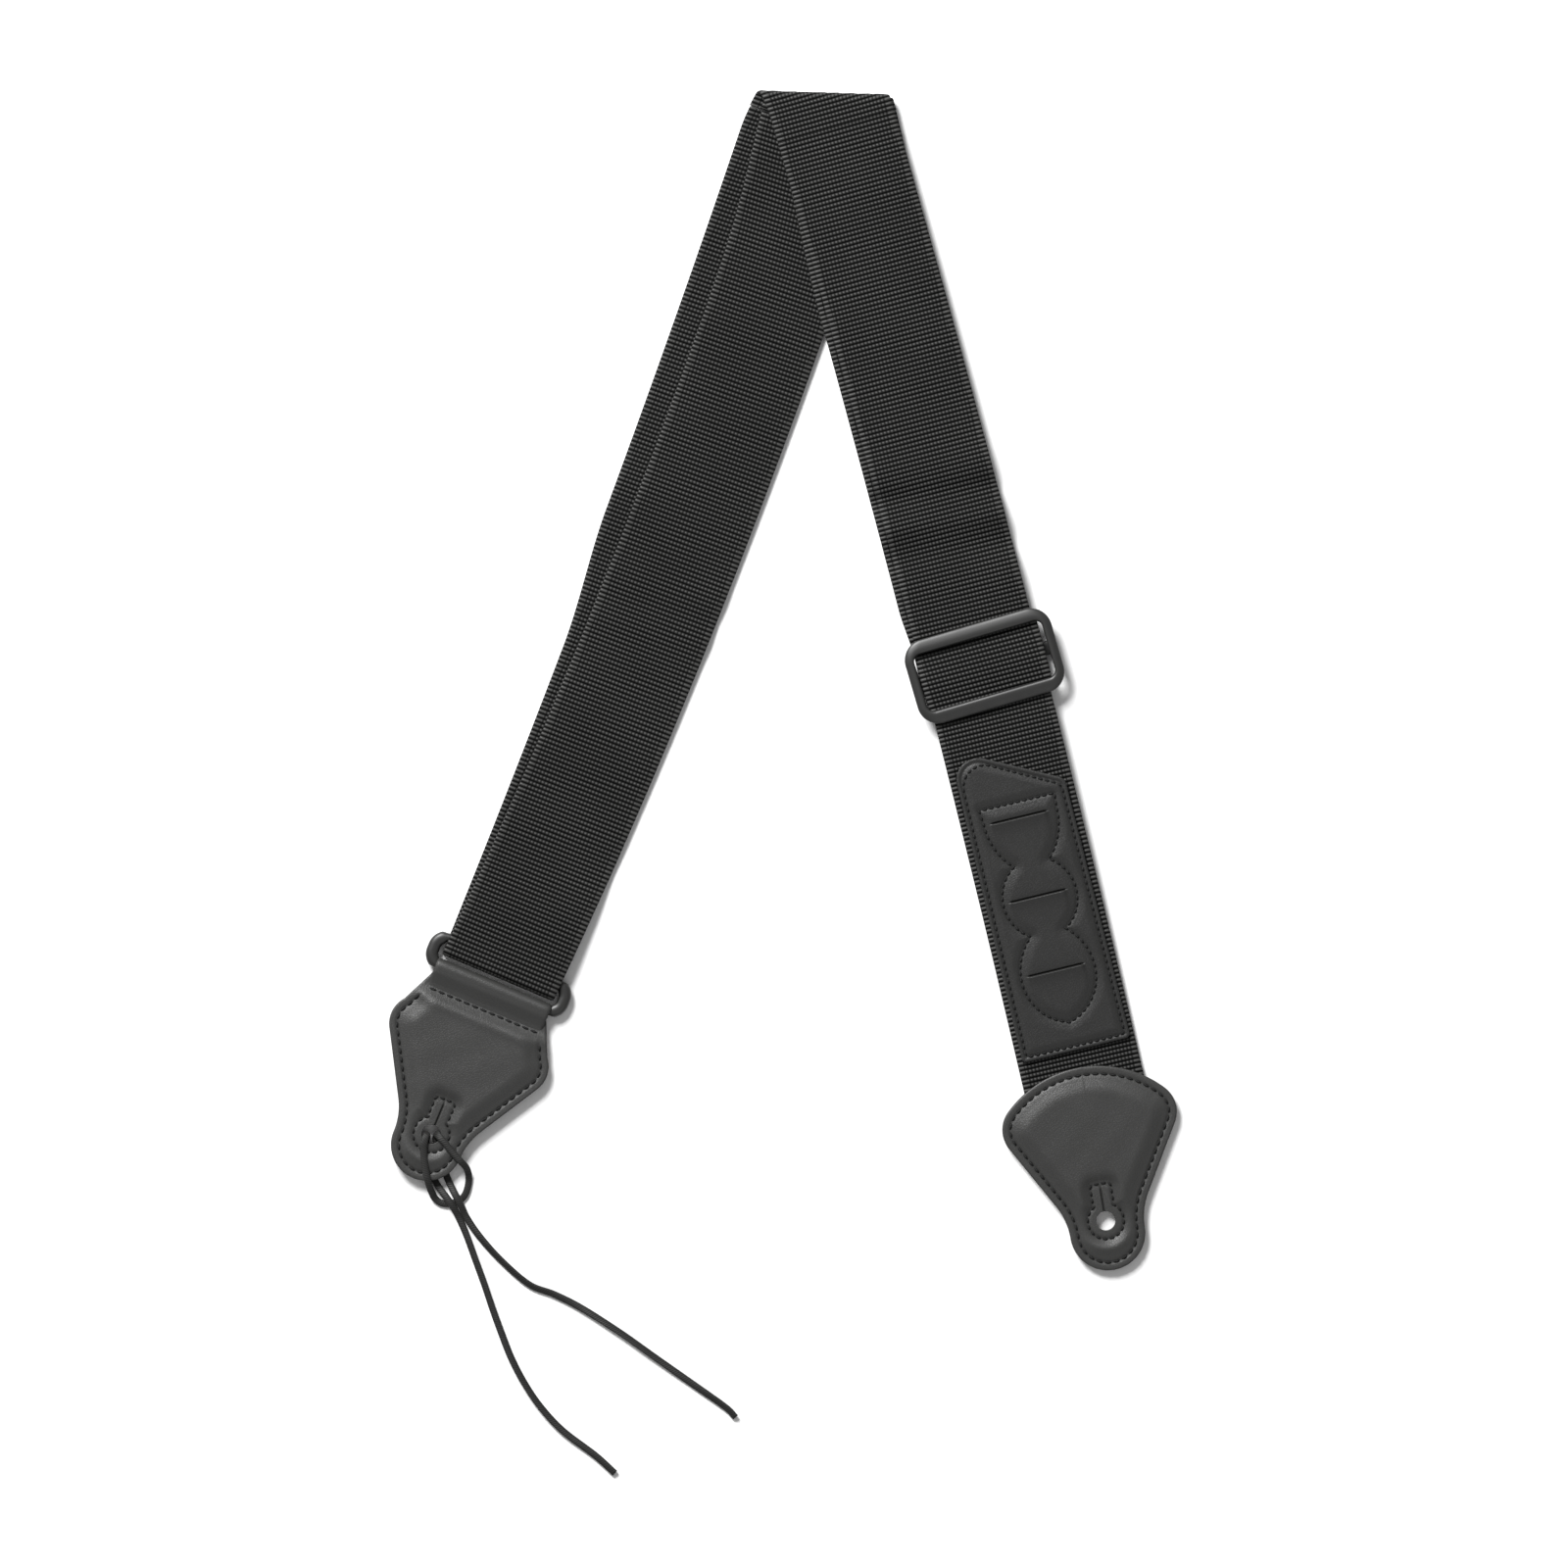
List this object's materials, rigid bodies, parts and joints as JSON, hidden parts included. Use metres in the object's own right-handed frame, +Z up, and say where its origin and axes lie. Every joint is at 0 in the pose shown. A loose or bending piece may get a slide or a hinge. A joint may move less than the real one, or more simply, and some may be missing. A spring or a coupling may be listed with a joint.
{
  "type": "guitar strap",
  "caption": "Adjustable guitar strap in ribbed webbing with a slider, a ring, leather ends, a button hole, a tie lace and a leather pick holder.",
  "frame": {"origin": "centre of the button hole, on the surface that the strap lies on", "axes": "+Y towards the fold, along the strap as it lies; +X to the right; +Z up, out of the button hole"},
  "size_m": [0.3265, 0.5745, 0.0091],
  "materials": {
    "webbing": "ribbed woven webbing, slightly glossy",
    "leather_front": "fine grain, satin",
    "leather_back": "rough flesh side",
    "padding": "felt",
    "thread": "waxed thread",
    "slider_plastic": "satin moulded",
    "ring_plastic": "satin moulded",
    "lace": "flat woven lace"
  },
  "bodies": {
    "strap_back": {"webbing_back_running": "webbing", "webbing_back_inner": "webbing", "webbing_fold_outer": "webbing", "webbing_fold_inner": "webbing"},
    "strap_front": {"webbing_front_running": "webbing", "webbing_front_inner": "webbing", "pick_holder_patch": "leather_front", "pick_holder_edge_stitching": "thread", "pick_pocket_stitching": "thread"},
    "slider": {"tri_glide_slider": "slider_plastic", "webbing_slider_loop": "webbing", "slider_loop_stitching": "thread"},
    "button_end": {"button_end_front": "leather_front", "button_end_back": "leather_back", "button_end_padding": "padding", "webbing_button_tail": "webbing", "button_end_edge_stitching": "thread", "button_end_hole_stitching": "thread"},
    "ring_loop": {"webbing_ring_loop": "webbing"},
    "ring": {"ring": "ring_plastic"},
    "tie_end": {"tie_end_front": "leather_front", "tie_end_back": "leather_back", "tie_end_padding": "padding", "tie_end_edge_stitching": "thread", "tie_end_hole_stitching": "thread", "tie_end_loop_stitching": "thread", "lace_short_half": "lace", "lace_long_half": "lace"}
  },
  "joints": [
    {"name": "fold_opening", "type": "hinge", "parent": "strap_back", "child": "strap_front", "pos_m": [-0.11509, 0.46474, 0.0032], "axis": [-0.9996, 0.0297, 0], "range_deg": [0, 170], "deforming": ["webbing_fold_outer", "webbing_fold_inner"]},
    {"name": "slider_travel", "type": "slide", "parent": "strap_front", "child": "slider", "axis": [-0.2538, 0.9673, 0], "range_m": [-0.01, 0.1], "deforming": ["webbing_front_inner"]},
    {"name": "strap_extension", "type": "slide", "parent": "strap_back", "child": "ring_loop", "axis": [-0.3755, -0.9268, 0], "range_m": [-0.005, 0.05], "deforming": ["webbing_back_running", "webbing_back_inner"]},
    {"name": "ring_swing", "type": "hinge", "parent": "ring_loop", "child": "ring", "pos_m": [-0.24936, 0.10783, 0.0032], "axis": [-0.9219, 0.3875, 0], "range_deg": [0, 75]},
    {"name": "tie_end_swing", "type": "hinge", "parent": "ring", "child": "tie_end", "pos_m": [-0.25409, 0.09659, 0.0032], "axis": [-0.9219, 0.3875, 0], "range_deg": [0, 90]},
    {"name": "button_end_flex", "type": "hinge", "parent": "strap_front", "child": "button_end", "pos_m": [-0.01031, 0.06367, 0.0025], "axis": [-0.9871, -0.1599, 0], "range_deg": [0, 60]}
  ],
  "couplings": [
    {"joint": "strap_extension", "follows": "slider_travel", "ratio": 0.5}
  ]
}
